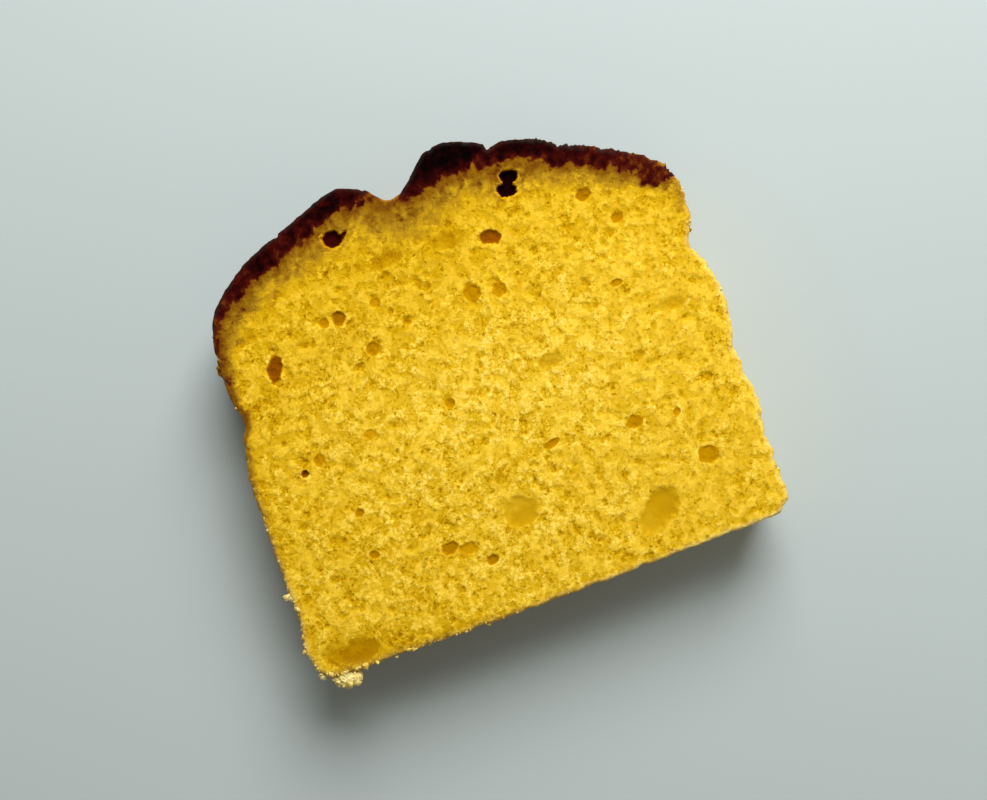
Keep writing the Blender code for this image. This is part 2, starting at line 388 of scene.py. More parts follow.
# %% How dark and how thick the crust is
# Across the loaf: place, darkness, depth of the crust, fading, all but the darkness in mm.
CROWN_BAKE = (
    (-50.0, 0.54, 0.9, 3.0),
    (-47.0, 0.57, 1.4, 4.6),
    (-45.0, 0.64, 2.2, 4.6),
    (-41.0, 0.73, 3.2, 4.7),
    (-37.0, 0.80, 3.5, 4.4),
    (-33.0, 0.80, 5.0, 3.6),
    (-30.0, 0.73, 3.9, 5.2),
    (-24.0, 0.75, 4.2, 5.8),
    (-16.0, 0.89, 4.4, 8.2),
    (-12.0, 0.84, 4.1, 7.8),
    (-10.0, 0.75, 4.0, 6.0),
    (-8.4, 0.64, 2.6, 4.6),
    (-7.2, 0.54, 1.6, 7.0),
    (-6.0, 0.43, 0.8, 8.5),
    (-3.0, 0.41, 0.8, 8.5),
    (-1.6, 0.74, 2.2, 7.4),
    (1.0, 0.88, 4.5, 7.4),
    (3.5, 0.97, 6.3, 8.6),
    (8.0, 1.00, 7.0, 9.0),
    (13.0, 0.98, 6.3, 8.2),
    (15.8, 0.92, 5.3, 7.0),
    (17.3, 0.70, 3.9, 6.4),
    (20.0, 0.84, 4.2, 6.4),
    (26.0, 0.86, 4.4, 5.8),
    (29.5, 0.81, 3.7, 5.2),
    (33.0, 0.75, 3.2, 4.4),
    (37.0, 0.72, 4.0, 4.1),
    (42.0, 0.71, 3.3, 4.2),
    (45.0, 0.64, 3.5, 2.6),
    (47.5, 0.62, 4.2, 1.3),
    (51.0, 0.60, 4.2, 1.2),
)
# Up the left side and up the right side: height over the base, then the same columns.
LEFT_BAKE = (
    (2.0, 0.16, 0.2, 1.0),
    (18.0, 0.18, 0.2, 1.2),
    (30.0, 0.24, 0.3, 1.3),
    (48.0, 0.32, 0.5, 1.0),
    (54.0, 0.46, 0.7, 0.9),
    (62.0, 0.48, 0.7, 1.2),
    (66.0, 0.48, 0.8, 1.9),
    (69.0, 0.50, 0.7, 2.6),
)
RIGHT_BAKE = (
    (2.0, 0.01, 0.1, 0.8),
    (48.0, 0.03, 0.1, 0.8),
    (58.0, 0.12, 0.4, 2.6),
    (64.0, 0.22, 0.6, 3.2),
    (70.0, 0.26, 0.6, 3.2),
)
# Along the base, from left to right.
BASE_BAKE = (
    (-50.0, 0.22, 0.3, 2.8),
    (-30.0, 0.24, 0.3, 2.0),
    (-10.0, 0.22, 0.3, 0.9),
    (20.0, 0.17, 0.2, 0.7),
    (50.0, 0.10, 0.1, 0.6),
)
CROWN_STARTS = (67.0, 70.3)  # over the base, at the left and at the right
CROWN_BLEND = (3.0, 0.8)  # over what height the side turns into the crown
BASE_BLEND = (0.3, 2.2)  # between these heights the base turns into the side


def edge_bake(x, y):
    """Darkness, depth and fading distance of the crust at places on the slice's edge."""
    on_left = x < 0
    starts = np.where(on_left, *CROWN_STARTS)
    crown = ease((y - starts) / np.where(on_left, *CROWN_BLEND), 0.0, 1.0)
    base = 1 - ease(y, *BASE_BLEND)
    measures = []
    for left, right, top, bottom in zip(
        along(LEFT_BAKE, y), along(RIGHT_BAKE, y), along(CROWN_BAKE, x), along(BASE_BAKE, x)
    ):
        side = np.where(on_left, left, right)
        side = side * (1 - base) + bottom * base
        measures.append(side * (1 - crown) + top * crown)
    return measures


print("darkness, depth and fading at x = 8:", [value.round(2) for value in edge_bake(8.0, 92.0)])

# %% [markdown]
# ## The side
#
# The side is a grid: one column of points for each step round the edge, and rows from the upper
# cut face down to the lower one. Every point is pushed in or out by noise of a few sizes. The
# crown is craggy, the right side is lumpy because it tore from its tin, and the left side and the
# base baked smooth. The nicks are the few clefts in the crust that can be told apart.

# %% Points down the side
ROW_STEP = 0.85
TOP_ROWS = (19.82, 19.45, 18.95, 18.35)
BOTTOM_ROWS = (0.35, 0.0)
row_heights = list(TOP_ROWS)
middle_rows = int((TOP_ROWS[-1] - BOTTOM_ROWS[0]) / ROW_STEP)
row_heights += list(np.linspace(TOP_ROWS[-1], BOTTOM_ROWS[0], middle_rows + 1)[1:])
row_heights.append(BOTTOM_ROWS[1])
# How far each of the first and last rows is drawn in, which rounds the slice's edges.
DRAWN_IN = {0: 0.14, 1: 0.04, len(row_heights) - 1: 0.25}
# Nicks in the crown's crust: across the loaf, half its width, depth.
NICKS = (
    (17.5, 0.6, 0.8),
    (-9.2, 0.5, 0.5),
    (-28.6, 0.6, 0.5),
    (31.0, 0.5, 0.5),
    (6.4, 0.5, 0.4),
)
# Relief of each part of the side: (size, height) in mm.
CROWN_RELIEF = ((2.8, 0.12), (1.1, 0.11), (0.5, 0.06))
RIGHT_RELIEF = ((3.2, 0.32), (1.4, 0.34), (0.7, 0.17))
LEFT_RELIEF = ((3.6, 0.18), (1.5, 0.21), (0.7, 0.12))
# On the crown's right slope the crust broke into small teeth.
TEETH_START = (18.0, 30.0)
TEETH_SIZE = 0.60
TEETH_HEIGHT = 0.42
CROWN_CRAGS_START = (65.5, 70.5)  # over the base, where the crown's relief sets in
RIGHT_LUMPS_START = (1.0, 5.0)  # and where the right side's does
NICK_SHARPNESS = 0.7


def side_relief(places, x, y):
    """How far the side stands out at each place, in mm."""
    crown = ease(y, *CROWN_CRAGS_START)
    right = (1 - crown) * (x > 0) * ease(y, *RIGHT_LUMPS_START)
    left = (1 - crown) - right
    height = np.zeros(len(places))
    for seed, sizes in enumerate(zip(CROWN_RELIEF, RIGHT_RELIEF, LEFT_RELIEF)):
        for share, (size, depth) in zip((crown, right, left), sizes):
            height += share * depth * wander(places, size, seed + 2.0)
    height += TEETH_HEIGHT * crown * ease(x, *TEETH_START) * wander(places, TEETH_SIZE, 9.0)
    for middle, half, depth in NICKS:
        nearness = np.maximum(0.0, 1 - np.abs((x - middle) / half))
        height -= crown * depth * nearness**NICK_SHARPNESS
    return height


def side_grid():
    """All rows of the side, as an array of rows, columns and three coordinates."""
    rows = []
    for row, height in enumerate(row_heights):
        reach = outline_reach(column_angles, height)
        flat = reach[:, None] * column_spokes
        places = np.column_stack((flat, np.full(COLUMNS, height)))
        x, y = (flat - LOAF_ORIGIN).T
        reach = reach + side_relief(places, x, y) - DRAWN_IN.get(row, 0.0)
        rows.append(np.column_stack((reach[:, None] * column_spokes, np.full(COLUMNS, height))))
    return np.array(rows)


side = side_grid()
print("side:", len(row_heights), "rows of", COLUMNS, "points")

# %% [markdown]
# ## Points over the cut face
#
# The upper cut face is what the picture is all about. Its points lie on a fine lattice, each
# pushed a little out of line so that no rows show. Those outside the ragged edge are dropped.
# A Delaunay triangulation then joins what is left to the side's first row. The lower cut face is
# flat and never seen, so it takes a coarser lattice.

# %% A jittered lattice inside a ring
FACE_STEP = 0.42
UNDER_STEP = 1.5
LATTICE_JITTER = 0.30  # of a step
LATTICE_GAP = 0.55  # of a step, kept free inside the ring


def ring_limit(ring, points):
    """How far out a ring reaches in the direction of each point."""
    towards = np.arctan2(points[:, 1], points[:, 0])
    return np.interp(towards, column_angles, np.linalg.norm(ring, axis=1), period=2 * math.pi)


def lattice_inside(ring, step, seed):
    """Points about a step apart, all inside a ring of points given in polar order."""
    rng = np.random.default_rng(seed)
    widest = np.linalg.norm(ring, axis=1).max()
    xs = np.arange(-widest, widest, step)
    ys = np.arange(-widest, widest, step * math.sqrt(3) / 2)
    grid = np.stack(np.meshgrid(xs, ys), axis=-1)
    grid[1::2, :, 0] += step / 2
    points = grid.reshape(-1, 2)
    points = points + rng.uniform(-1, 1, points.shape) * step * LATTICE_JITTER
    limit = ring_limit(ring, points) - LATTICE_GAP * step
    return points[np.linalg.norm(points, axis=1) < limit]


def triangles_over(ring, points):
    """Triangles that join a ring and the points inside it, with the ring's points first."""
    everything = np.vstack((ring, points))
    edges = [(step, (step + 1) % len(ring)) for step in range(len(ring))]
    corners = [Vector(place) for place in everything.tolist()]
    result = delaunay_2d_cdt(corners, edges, [], 0, 1e-5, True)
    original = np.array([sources[0] for sources in result[3]])
    triangles = original[np.array(result[2])]
    middles = everything[triangles].mean(axis=1)
    return triangles[np.linalg.norm(middles, axis=1) < ring_limit(ring, middles)].tolist()


face_points = lattice_inside(side[0, :, :2], FACE_STEP, seed=4)
under_points = lattice_inside(side[-1, :, :2], UNDER_STEP, seed=5)
under_triangles = triangles_over(side[-1, :, :2], under_points)
print("lattices:", len(face_points), "points above,", len(under_points), "below")

# %% [markdown]
# ## Holes that can be told apart
#
# Air makes the crumb. A few of its holes are large enough to know by sight: two dark, ragged ones
# under the crown, a slanting one at the left and a scatter of shallow ones. Each is listed with
# its place, its half width and height, its turn, its depth, and how much shade is painted inside
# it: a hole lies in shade the farther it runs on under the face, so its painted shade is a measure
# of its own. Apart from them there are a few smooth bowls, where a large bubble was cut through
# its edge.

# %% The large holes
LARGE_HOLES = (
    # x, y, half width, half height, turn, depth, painted shade inside
    (-18.1, 82.3, 2.3, 1.85, -15, 1.5, 0.86),
    (-16.0, 82.2, 1.5, 0.6, 32, 1.2, 0.80),
    (19.4, 82.2, 2.05, 1.4, -20, 1.6, 1.0),
    (18.8, 80.9, 1.1, 1.2, -20, 1.6, 1.0),
    (18.1, 79.7, 2.1, 1.45, -20, 1.6, 1.0),
    (11.9, 72.0, 2.3, 1.5, -20, 0.45, 0.66),
    (-37.6, 61.8, 1.6, 2.95, -25, 0.45, 0.66),
    (-22.2, 67.1, 1.5, 1.5, 0, 0.5, 0.50),
    (-25.3, 67.1, 1.1, 1.15, 0, 0.3, 0.27),
    (-39.2, 40.0, 0.85, 0.75, 0, 0.8, 0.68),
    (32.2, 73.5, 1.7, 1.35, 10, 0.4, 0.45),
    (4.7, 62.7, 1.95, 1.85, 0, 0.3, 0.26),
    (10.1, 61.5, 1.6, 1.65, 20, 0.3, 0.25),
    (-17.9, 59.0, 1.4, 1.6, 0, 0.3, 0.33),
    (-14.3, 67.5, 1.1, 1.0, 0, 0.25, 0.19),
    (-7.1, 43.5, 1.15, 1.1, 0, 0.3, 0.22),
    (-24.2, 43.1, 1.3, 1.2, 0, 0.2, 0.10),
    (-35.5, 41.7, 1.3, 1.3, 0, 0.25, 0.26),
    (9.2, 28.9, 1.9, 0.85, 12, 0.3, 0.29),
    (26.3, 27.3, 1.9, 1.3, 0, 0.3, 0.27),
    (35.0, 26.3, 1.0, 0.8, 30, 0.3, 0.20),
    (38.0, 16.3, 2.3, 1.8, 20, 0.3, 0.23),
    (32.5, 54.7, 1.3, 0.8, 0, 0.3, 0.25),
    (37.1, 67.0, 1.3, 1.1, 0, 0.3, 0.30),
    (-17.0, 16.2, 2.1, 1.3, 10, 0.4, 0.35),
    (-13.6, 14.8, 2.1, 1.4, -15, 0.25, 0.13),
    (-9.7, 11.1, 1.3, 1.1, 0, 0.4, 0.40),
    (-31.7, 20.1, 1.0, 0.9, 0, 0.3, 0.35),
    (-31.6, 29.0, 1.0, 0.9, 0, 0.3, 0.28),
)
# Smooth cut bubbles and sweet, dense patches: x, y, half width, half height, depth, richness.
SMOOTH_PATCHES = (
    (-1.2, 18.3, 3.7, 3.5, 0.30, 0.48),
    (-1.0, 17.0, 3.1, 2.1, 0.35, 0.62),
    (23.2, 7.6, 3.4, 2.9, 0.4, 0.56),
    (26.0, 10.0, 3.3, 3.4, 0.5, 0.76),
    (-41.0, 3.0, 4.6, 2.8, 0.20, 0.85),
    (-45.6, 4.4, 3.2, 2.4, 0.12, 0.45),
    (14.7, 44.7, 3.0, 1.5, 0.15, 0.58),
    (41.7, 47.0, 3.2, 1.4, 0.2, 0.55),
    (3.7, 74.3, 4.0, 2.2, 0.10, 0.42),
    (-10.0, 74.7, 3.4, 1.8, 0.10, 0.50),
)
FINE_STEP = 0.20  # between points where a hole's rim has to be crisp
RIM_PLACE = 1.12  # where the painted highlight round a hole lies, of its half width


def with_fine_points(points):
    """The lattice, with closer points in place of its own round each large hole."""
    fine = lattice_inside(side[0, :, :2], FINE_STEP, seed=6)
    near_points = np.zeros(len(points), dtype=bool)
    near_fine = np.zeros(len(fine), dtype=bool)
    for x, y, half_width, half_height, *_ in LARGE_HOLES:
        middle = LOAF_ORIGIN + (x, y)
        reach = RIM_PLACE * max(half_width, half_height) + FINE_STEP
        near_points |= np.linalg.norm(points - middle, axis=1) < reach + FINE_STEP
        near_fine |= np.linalg.norm(fine - middle, axis=1) < reach
    return np.vstack((points[~near_points], fine[near_fine]))


face_points = with_fine_points(face_points)
face_triangles = triangles_over(side[0, :, :2], face_points)
print("cut face:", len(face_points), "points,", len(face_triangles), "triangles")

# %% [markdown]
# ## How far each point is from the edge
#
# Both the browning and the rounding of the edge depend on how far in a point lies, so we look up
# the nearest point of the edge for each of them once, and keep its distance and its number.

# %% Distance to the edge
def distance_to_edge(ring, points):
    """For each point, how far it is to the nearest point of a ring, and which one that is."""
    tree = KDTree(len(ring))
    for step, place in enumerate(ring.tolist()):
        tree.insert((*place, 0.0), step)
    tree.balance()
    found = [tree.find((*place, 0.0)) for place in points.tolist()]
    return np.array([hit[2] for hit in found]), np.array([hit[1] for hit in found])


face_distance, face_nearest = distance_to_edge(side[0, :, :2], face_points)
under_distance, under_nearest = distance_to_edge(side[-1, :, :2], under_points)
print("deepest point of the cut face, mm from the edge:", face_distance.max().round(1))

# %% [markdown]
# Now the listed holes can be sunk. Each is an oval with a ragged outline, steep at its rim and
# painted darker towards its middle as shade, with a thin painted highlight round it. A patch is only
# a little hollow, and smooth.

# %% Sink the large holes
WOBBLES = ((1.1, 0.42, 31.0), (0.5, 0.22, 32.0))  # size, height, seed of a ragged outline
OVAL_WOBBLE = 0.34  # the share of it that large holes take
HOLE_STEEPNESS = 2.4  # how fast a hole sinks from its rim inward
HOLE_ROUNDING = 0.8  # less makes its wall steeper at the rim
HOLE_SHADE_INWARD = 6.0  # how fast its painted shade deepens inward
RIM_WIDTH = 0.2
PATCH_STEEPNESS = 2.0  # the same for the smooth patches
PATCH_ROUNDING = 0.7
PATCH_CHANGE = 4.5  # how fast a patch takes on its own look
FULL_CALM = 3.0  # per mm: a patch a third of a mm deep is wholly smooth
DARK_AT_ALL = 0.02  # above this a hole has painted shade inside, and gets no painted highlight round it

face_x, face_y = (face_points - LOAF_ORIGIN).T
outline_wobble = sum(height * wander(face_points, size, seed) for size, height, seed in WOBBLES)


def oval_spread(x, y, half_width, half_height, turn=0.0):
    """How far out of a ragged oval each point of the cut face is: 0 in its middle, 1 at its rim."""
    angle = math.radians(turn)
    right = (face_x - x) * math.cos(angle) + (face_y - y) * math.sin(angle)
    up = (face_y - y) * math.cos(angle) - (face_x - x) * math.sin(angle)
    smooth_spread = np.sqrt((right / half_width) ** 2 + (up / half_height) ** 2)
    return smooth_spread * (1 + OVAL_WOBBLE * outline_wobble)


def deepened(depths, inside, depth, steepness, rounding):
    """The depths of all points after one more hollow, where the deeper one wins."""
    return np.maximum(depths, depth * np.minimum(inside * steepness, 1.0) ** rounding)


hole_depth = np.zeros(len(face_points))
hole_painted_shade = np.zeros(len(face_points))
hole_rim_highlight = np.zeros(len(face_points))
# Each hole sinks and takes painted shade, deeper towards its middle.
for x, y, half_width, half_height, turn, depth, darkness in LARGE_HOLES:
    spread = oval_spread(x, y, half_width, half_height, turn)
    inside = np.clip(1 - spread, 0.0, 1.0)
    on_rim = np.clip(1 - np.abs(spread - RIM_PLACE) / RIM_WIDTH, 0.0, 1.0)
    hole_depth = deepened(hole_depth, inside, depth, HOLE_STEEPNESS, HOLE_ROUNDING)
    hole_painted_shade = np.maximum(hole_painted_shade, darkness * np.minimum(inside * HOLE_SHADE_INWARD, 1.0))
    # A thin ring just outside each hole takes a painted highlight, stronger round the darker holes.
    hole_rim_highlight = np.maximum(hole_rim_highlight, darkness * on_rim)
smoothness = np.zeros(len(face_points))
patch_colour = np.zeros(len(face_points))
for x, y, half_width, half_height, depth, colour in SMOOTH_PATCHES:
    inside = np.clip(1 - oval_spread(x, y, half_width, half_height), 0.0, 1.0)
    well_inside = np.minimum(inside * PATCH_CHANGE, 1.0)
    hole_depth = deepened(hole_depth, inside, depth, PATCH_STEEPNESS, PATCH_ROUNDING)
    smoothness = np.maximum(smoothness, well_inside * min(1.0, depth * FULL_CALM))
    patch_colour = np.maximum(patch_colour, colour * well_inside)
hole_rim_highlight *= hole_painted_shade < DARK_AT_ALL
print("named holes cover", round(100 * float((hole_depth > 0.2).mean()), 1), "% of the cut face")

# %% [markdown]
# ## Thousands of small pores
#
# The rest of the crumb is pores too small to name, many more of the small ones than of the large.
# We draw their sizes from a power law and scatter them with a fixed seed. Each pore pushes down
# the points it covers, with a steep rim and a round floor, and where two overlap the deeper one
# wins. To find a pore's points quickly, the face is first sorted into square cells.

# %% Sort the points into cells
CELL = 2.0
CELL_SHIFT = 80.0  # makes every place positive, wherever on the face it is
cell_of_point = np.floor((face_points + CELL_SHIFT) / CELL).astype(int)
cells = {}
for index, cell in enumerate(map(tuple, cell_of_point.tolist())):
    cells.setdefault(cell, []).append(index)
cells = {cell: np.array(members) for cell, members in cells.items()}
NO_POINTS = np.array([], dtype=int)


def points_near(x, y, reach):
    """Numbers of the face's points in the cells that a circle touches."""
    low_x, low_y, high_x, high_y = (
        int((value + CELL_SHIFT) // CELL) for value in (x - reach, y - reach, x + reach, y + reach)
    )
    found = [
        cells.get((column, row), NO_POINTS)
        for column in range(low_x, high_x + 1)
        for row in range(low_y, high_y + 1)
    ]
    return np.concatenate(found)


print("cells in use:", len(cells))

# %% Scatter the pores
PORE_COUNT = 620
SMALLEST_PORE = 0.36  # half its width
LARGEST_PORE = 1.05
PORE_POWER = 2.5  # how quickly large pores become rare
PORE_DEPTH = 0.28  # of half its width
PORE_DEPTH_RANGE = (0.6, 1.3)  # of that depth
PORE_ROUNDING = 0.55
PORE_STRETCH = 1.8  # the longest pores, against round ones
PORES_SMOOTHED = 0.9  # how much of the pores is lost in the smooth patches


def pore_sizes(rng, count):
    """Half widths drawn from a power law between the smallest and the largest pore."""
    power = 1.0 - PORE_POWER
    low, high = SMALLEST_PORE**power, LARGEST_PORE**power
    return (low + rng.uniform(0, 1, count) * (high - low)) ** (1.0 / power)


def scattered_pores(rng):
    """How deep the small pores have sunk each point, in mm, and how far inside a pore it is."""
    sunk = np.zeros(len(face_points))
    inward = np.zeros(len(face_points))
    chosen = face_points[rng.integers(0, len(face_points), PORE_COUNT)]
    halves = pore_sizes(rng, PORE_COUNT)
    stretches = rng.uniform(1.0, PORE_STRETCH, PORE_COUNT)
    turns = rng.uniform(0.0, math.pi, PORE_COUNT)
    depths = halves * PORE_DEPTH * rng.uniform(*PORE_DEPTH_RANGE, PORE_COUNT)
    for (x, y), half, stretch, turn, depth in zip(chosen, halves, stretches, turns, depths):
        near = points_near(x, y, half * stretch)
        if not len(near):
            continue
        right, up = (face_points[near] - (x, y)).T
        long_way = (right * math.cos(turn) + up * math.sin(turn)) / (half * stretch)
        short_way = (up * math.cos(turn) - right * math.sin(turn)) / half
        spread = (long_way**2 + short_way**2) * (1 + outline_wobble[near])
        inside = np.clip(1 - spread, 0.0, 1.0)
        sunk[near] = np.maximum(sunk[near], depth * inside**PORE_ROUNDING)
        inward[near] = np.maximum(inward[near], inside)
    return sunk, inward


small_depth, pore_inside = scattered_pores(np.random.default_rng(21))
small_depth *= 1 - PORES_SMOOTHED * smoothness
pore_inside *= 1 - PORES_SMOOTHED * smoothness
print("small pores cover", round(100 * float((pore_inside > 0).mean())), "% of the cut face")

# %% [markdown]
# ## Lumps and grains between the pores
#
# What is left standing between the pores is not smooth either. A knife pulls soft crumb apart, so
# the face is a patchwork of small lumps that stand proud, with torn edges, and hollows between
# them. Plain noise gives the lumps. Where the knife tore more than it cut, round grains of under a
# millimetre join them: distances to scattered cell middles give such grains, with creases between.
# A slow noise decides how torn each spot is.

# %% Relief between the pores
SLOW_WAVES = ((11.0, 0.12), (3.6, 0.035))  # size, height
GRAIN_SIZE = 0.95
GRAIN_HEIGHT = 0.05
GRAIN_PLANE = 0.37  # the flat cut through the noise that the grains are read from
GRAIN_FULLNESS = 1.8  # more makes the creases narrower
TORN_NOISE = ((4.2, 1.0, 41.0), (1.6, 0.5, 42.0))  # size, share, seed
TORN_STEP = (-0.25, 0.45)  # from a clean cut to wholly torn
LUMP_SIZES = ((2.1, 1.0), (1.0, 0.75))  # size, share
LUMP_STEP = (0.38, 0.62)  # from the hollow beside a lump to its top
LUMP_HEIGHT = 0.085
ROUGH_SIZE = 0.55
ROUGH_HEIGHT = 0.02
EDGE_DROP = 0.20  # how far the edge of the cut face is rounded down
EDGE_ROUND = 0.9  # and over what distance
RELIEF_SMOOTHED = 0.85  # how much of the fine relief is lost in the smooth patches
# Where the crumb is more torn, or below zero cut more cleanly: x, y, reach each way, how much.
TORN_REGIONS = (
    (-6.0, 42.0, 26.0, 22.0, 0.35),
    (-24.0, 10.0, 26.0, 12.0, 0.20),
    (38.0, 44.0, 14.0, 36.0, -0.50),
    (4.0, 80.0, 12.0, 9.0, -0.50),
    (30.0, 12.0, 16.0, 10.0, -0.30),
    (-10.0, 14.0, 40.0, 14.0, 0.40),
    (0.0, 76.0, 44.0, 12.0, -0.45),
)


def over_regions(points, regions):
    """Adds up smooth bumps over the cut face, each given by its place, reaches and height."""
    across, up = (points - LOAF_ORIGIN).T
    total = np.zeros(len(points))
    for x, y, reach_x, reach_y, height in regions:
        total += height * np.exp(-(((across - x) / reach_x) ** 2) - ((up - y) / reach_y) ** 2)
    return total


def grains(points, size):
    """Round grains: 1 at the middle of each, falling to 0 in the creases between them."""
    flat = (points / size).tolist()
    nearest = np.array([noise.voronoi((x, y, GRAIN_PLANE))[0][:2] for x, y in flat])
    return np.clip((nearest[:, 1] - nearest[:, 0]) * GRAIN_FULLNESS, 0.0, 1.0)


torn_noise = sum(share * wander(face_points, size, seed) for size, share, seed in TORN_NOISE)
torn = ease(torn_noise + over_regions(face_points, TORN_REGIONS), *TORN_STEP)
lumps = sum(share * wander(face_points, size, 43.0 + size) for size, share in LUMP_SIZES)
lumps = 0.5 + 0.5 * lumps
relief = sum(height * wander(face_points, size, 44.0 + size) for size, height in SLOW_WAVES)
fine_relief = GRAIN_HEIGHT * torn * grains(face_points, GRAIN_SIZE)
fine_relief += LUMP_HEIGHT * ease(lumps, *LUMP_STEP)
fine_relief += ROUGH_HEIGHT * wander(face_points, ROUGH_SIZE, 45.0)
edge_drop = EDGE_DROP * (1 - np.clip(face_distance / EDGE_ROUND, 0.0, 1.0)) ** 2
face_sunk = np.maximum(small_depth, hole_depth)
fine_relief *= 1 - RELIEF_SMOOTHED * smoothness
face_height = THICKNESS + relief + fine_relief - face_sunk - edge_drop
print("cut face, mm: from", face_height.min().round(2), "to", face_height.max().round(2))

# %% [markdown]
# ## How baked each point is
#
# The tables of the crust are read at the point of the edge that lies nearest. From there inward
# the crust grows a little lighter, stops, and leaves toasted crumb that fades slowly. Noise pulls
# that border in and out. The crumb has its own, weaker tones: it is palest in the middle of the
# loaf, which bakes last, and where dry crumbs cling to a torn edge.

# %% Bake the cut faces
CRUST_END = 0.63  # how baked the crust is where it stops
TOAST_START = 0.46  # and the toasted crumb just behind it
FADE_SHAPE = 1.4  # 1 fades fastest at first, 2 like a bell
CRUST_WANDER = ((3.4, 0.75), (1.3, 0.70))  # size and depth of the ragged border
FULL_WANDER = 3.0  # how deep a crust has to be for its border to stray that far
LEAST_WANDER = 0.30  # the share of it that a thin crust keeps
GLOW_AMOUNT = 0.05  # how much deeper the crumb is high under the crown
GLOW_HEIGHTS = (50.0, 82.0)
# Paler crumb, or below zero deeper: x, y, reach each way, how much.
PALE_REGIONS = (
    (8.0, 42.0, 32.0, 19.0, 0.085),
    (2.0, 10.0, 22.0, 9.0, 0.03),
    (32.0, 10.0, 14.0, 10.0, 0.02),
    (-12.0, 68.0, 30.0, 11.0, -0.05),
    (-42.0, 55.0, 7.0, 11.0, -0.07),
    (44.0, 69.0, 8.0, 6.0, -0.04),
    (39.0, 60.0, 9.0, 9.0, 0.045),
    (-38.0, 3.0, 14.0, 5.0, -0.05),
)
PALE_RIM = 0.24  # how much paler the crumb is where dry crumbs cling to a torn edge
DRY_RIGHT = (44.0, 60.0, 0.4)  # right of the first, below the second, by this share of it
DRY_BASE = (24.0, 0.5)  # and everywhere below the first by this share
DRY_RIM = (0.2, 1.9)  # mm from the edge, over which that fades
DRY_UNEVEN = (0.8, 0.6, 1.5)  # how dry it is on average, how uneven, and at what size
HOLE_RIM_HIGHLIGHT = 0.24  # how much paler the crumb is painted round a dark hole, as a painted highlight


def bake_inward(points, distance, nearest, ring):
    """How baked the points of a cut face are, from the edge they lie next to."""
    edge_x, edge_y = (ring[nearest, :2] - LOAF_ORIGIN).T
    darkness, crust, fading = edge_bake(edge_x, edge_y)
    ragged = sum(depth * wander(points, size, 51.0 + size) for size, depth in CRUST_WANDER)
    depth_in = distance + ragged * np.clip(crust / FULL_WANDER, LEAST_WANDER, 1.0)
    lost = (darkness - np.minimum(darkness, CRUST_END)) * np.clip(depth_in / crust, 0.0, 1.0) ** 3
    beyond = np.maximum(depth_in - crust, 0.0) / fading
    toasted = np.minimum(darkness, TOAST_START) * np.exp(-(beyond**FADE_SHAPE))
    glow = GLOW_AMOUNT * ease((points - LOAF_ORIGIN)[:, 1], *GLOW_HEIGHTS)
    return np.maximum(np.where(depth_in < crust, darkness - lost, toasted), glow)


def paleness(points, distance, nearest, ring):
    """How much paler than usual the crumb of a cut face is."""
    edge_x, edge_y = (ring[nearest, :2] - LOAF_ORIGIN).T
    from_x, to_y, right_share = DRY_RIGHT
    base_y, base_share = DRY_BASE
    average, unevenness, size = DRY_UNEVEN
    on_right = (edge_x > from_x) & (edge_y < to_y)
    crumbly = np.where(on_right, right_share, base_share * (edge_y < base_y))
    rim = crumbly * (1 - ease(distance, *DRY_RIM)) * (average + unevenness * wander(points, size, 71.0))
    return over_regions(points, PALE_REGIONS) + PALE_RIM * rim


face_bake = bake_inward(face_points, face_distance, face_nearest, side[0])
# The cut face's paleness, with the painted highlight round the holes added.
face_pale = paleness(face_points, face_distance, face_nearest, side[0]) + HOLE_RIM_HIGHLIGHT * hole_rim_highlight
under_bake = bake_inward(under_points, under_distance, under_nearest, side[-1])
print("mean bake of the cut face:", face_bake.mean().round(3))

# %% [markdown]
# The side takes the tables as they are. Lower down, where the cut face is no longer near, the
# border of the crust strays up and down, and the crust is a little darker. At the right the side
# is bare, dry crumb. The very edge, on the face and on the side, also gets a measure of its own.

# %% Bake the side, and mark the very edge
BELOW_TOP = (16.5, 19.4)  # between these heights the side takes on the look of the cut face's edge
SIDE_STRAY = (1.6, 4.5)  # how far the crust's border strays on the side, and at what size
SIDE_DEEPENED = 0.14  # how much darker its crust is
SIDE_CRUST_STEP = (0.42, 0.58)  # what is baked less than this is not crust, more is
SIDE_BLOTCHES = ((4.0, 0.12, 61.0), (1.2, 0.10, 62.0))  # size, strength, seed
SIDE_PALE_FROM = (30.0, 45.0)  # across the loaf, where the right side's dry crumb begins
SIDE_PALE_TO = 66.0  # and over the base, where it ends
SIDE_PALE_SHARE = 0.5
RIM_DEPTH = (0.15, 1.0)  # how far in from the edge its own colour is full, and gone
RIM_HEIGHTS = (18.0, 19.6)  # the same on the side
RIGHT_RIM_FACE = (44.0, 0.75)  # right of the first the edge is weaker, by the second
RIGHT_RIM_SIDE = (48.5, 0.4)


def weaker_right(x, limit):
    """1, but right of a place a smaller share."""
    place, share = limit
    return np.where(x > place, share, 1.0)


side_x, side_y = np.moveaxis(side[:, :, :2] - LOAF_ORIGIN, -1, 0).reshape(2, -1)
side_points = side.reshape(-1, 3)
under_top = 1 - ease(side_points[:, 2], *BELOW_TOP)
stray = SIDE_STRAY[0] * under_top * wander(side_points, SIDE_STRAY[1], 63.0)
side_bake = edge_bake(side_x, side_y + stray)[0]
side_bake += SIDE_DEEPENED * under_top * ease(side_bake, *SIDE_CRUST_STEP)
side_bake *= 1 + sum(depth * wander(side_points, size, seed) for size, depth, seed in SIDE_BLOTCHES)
side_pale = SIDE_PALE_SHARE * PALE_RIM * ease(side_x, *SIDE_PALE_FROM) * (side_y < SIDE_PALE_TO)
face_rim = (1 - ease(face_distance, *RIM_DEPTH)) * weaker_right(face_x, RIGHT_RIM_FACE)
side_rim = ease(side_points[:, 2], *RIM_HEIGHTS) * weaker_right(side_x, RIGHT_RIM_SIDE)
print("mean bake of the side:", side_bake.mean().round(3))
